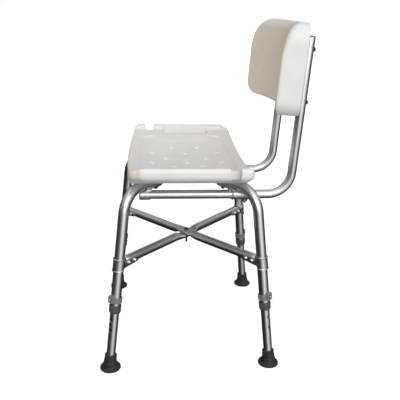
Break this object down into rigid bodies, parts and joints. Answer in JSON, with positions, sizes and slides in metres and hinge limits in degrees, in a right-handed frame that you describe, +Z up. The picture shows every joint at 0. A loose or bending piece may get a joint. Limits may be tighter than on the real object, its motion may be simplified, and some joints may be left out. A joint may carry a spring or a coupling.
{
  "type": "shower chair",
  "caption": "Height-adjustable shower chair with a dished drained seat, pull-off wrap-around backrest, and crossed tube legs with X braces and rubber tips.",
  "frame": {"origin": "on the floor, under the middle of the chair's bounding box", "axes": "+Z up; the sitter faces -Y, so the backrest is at +Y; +X is the sitter's left"},
  "size_m": [0.506, 0.5142, 0.8401],
  "materials": {
    "aluminium": "satin anodised tube with fine lengthwise drawing lines",
    "steel": "zinc plated fasteners",
    "white_plastic": "blow-moulded polyethylene with a fine grained skin",
    "grey_plastic": "satin moulded plastic",
    "dark_plastic": "satin moulded plastic",
    "rubber": "matt moulded rubber"
  },
  "bodies": {
    "frame": {"seat": "white_plastic", "leg_bow_upper": "aluminium", "leg_bow_lower": "aluminium", "cross_brace_upper": "aluminium", "cross_brace_lower": "aluminium", "brace_pivot_bolt": "steel", "brace_pivot_nut": "steel", "seat_bolt_centre": "steel", "brace_bracket_rear_left": "aluminium", "bracket_rivet_rear_left_1": "steel", "bracket_rivet_rear_left_2": "steel", "leg_ferrule_rear_left": "dark_plastic", "leg_clip_rear_left": "grey_plastic", "sleeve_bracket_rear_left": "aluminium", "seat_bolt_rear_left": "steel", "brace_bracket_front_right": "aluminium", "bracket_rivet_front_right_1": "steel", "bracket_rivet_front_right_2": "steel", "leg_ferrule_front_right": "dark_plastic", "leg_clip_front_right": "grey_plastic", "sleeve_bracket_front_right": "aluminium", "seat_bolt_front_right": "steel", "brace_bracket_front_left": "aluminium", "bracket_rivet_front_left_1": "steel", "bracket_rivet_front_left_2": "steel", "leg_ferrule_front_left": "dark_plastic", "leg_clip_front_left": "grey_plastic", "sleeve_bracket_front_left": "aluminium", "seat_bolt_front_left": "steel", "brace_bracket_rear_right": "aluminium", "bracket_rivet_rear_right_1": "steel", "bracket_rivet_rear_right_2": "steel", "leg_ferrule_rear_right": "dark_plastic", "leg_clip_rear_right": "grey_plastic", "sleeve_bracket_rear_right": "aluminium", "seat_bolt_rear_right": "steel"},
    "leg_rear_left": {"leg_extension_rear_left": "aluminium", "leg_tip_rear_left": "rubber"},
    "button_rear_left": {"leg_button_rear_left": "steel"},
    "leg_front_right": {"leg_extension_front_right": "aluminium", "leg_tip_front_right": "rubber"},
    "button_front_right": {"leg_button_front_right": "steel"},
    "leg_front_left": {"leg_extension_front_left": "aluminium", "leg_tip_front_left": "rubber"},
    "button_front_left": {"leg_button_front_left": "steel"},
    "leg_rear_right": {"leg_extension_rear_right": "aluminium", "leg_tip_rear_right": "rubber"},
    "button_rear_right": {"leg_button_rear_right": "steel"},
    "back_button_left": {"back_lock_button_left": "dark_plastic"},
    "back_button_right": {"back_lock_button_right": "dark_plastic"},
    "backrest": {"backrest_panel": "white_plastic", "backrest_tube_left": "aluminium", "tube_plug_left": "grey_plastic", "backrest_bolt_left_1": "steel", "backrest_bolt_left_2": "steel", "backrest_tube_right": "aluminium", "tube_plug_right": "grey_plastic", "backrest_bolt_right_1": "steel", "backrest_bolt_right_2": "steel"}
  },
  "joints": [
    {"name": "leg_slide_rear_left", "type": "slide", "parent": "frame", "child": "leg_rear_left", "axis": [-0.1124, -0.1026, 0.9883], "range_m": [-0.028, 0.084]},
    {"name": "leg_button_press_rear_left", "type": "slide", "parent": "frame", "child": "button_rear_left", "axis": [-0.7301, -0.6662, -0.1522], "range_m": [0, 0.003], "stiffness_N_per_m": 600, "springref_m": -0.002},
    {"name": "leg_slide_front_right", "type": "slide", "parent": "frame", "child": "leg_front_right", "axis": [0.1124, 0.1026, 0.9883], "range_m": [-0.028, 0.084]},
    {"name": "leg_button_press_front_right", "type": "slide", "parent": "frame", "child": "button_front_right", "axis": [0.7301, 0.6662, -0.1522], "range_m": [0, 0.003], "stiffness_N_per_m": 600, "springref_m": -0.002},
    {"name": "leg_slide_front_left", "type": "slide", "parent": "frame", "child": "leg_front_left", "axis": [-0.1124, 0.1026, 0.9883], "range_m": [-0.028, 0.084]},
    {"name": "leg_button_press_front_left", "type": "slide", "parent": "frame", "child": "button_front_left", "axis": [-0.7301, 0.6662, -0.1522], "range_m": [0, 0.003], "stiffness_N_per_m": 600, "springref_m": -0.002},
    {"name": "leg_slide_rear_right", "type": "slide", "parent": "frame", "child": "leg_rear_right", "axis": [0.1124, -0.1026, 0.9883], "range_m": [-0.028, 0.084]},
    {"name": "leg_button_press_rear_right", "type": "slide", "parent": "frame", "child": "button_rear_right", "axis": [0.7301, -0.6662, -0.1522], "range_m": [0, 0.003], "stiffness_N_per_m": 600, "springref_m": -0.002},
    {"name": "back_button_press_left", "type": "slide", "parent": "frame", "child": "back_button_left", "axis": [0, 0, 1], "range_m": [0, 0.0024], "stiffness_N_per_m": 600, "springref_m": -0.002},
    {"name": "back_button_press_right", "type": "slide", "parent": "frame", "child": "back_button_right", "axis": [0, 0, 1], "range_m": [0, 0.0024], "stiffness_N_per_m": 600, "springref_m": -0.002},
    {"name": "backrest_pull_off", "type": "slide", "parent": "frame", "child": "backrest", "axis": [0, 1, 0], "range_m": [0, 0.27]}
  ]
}
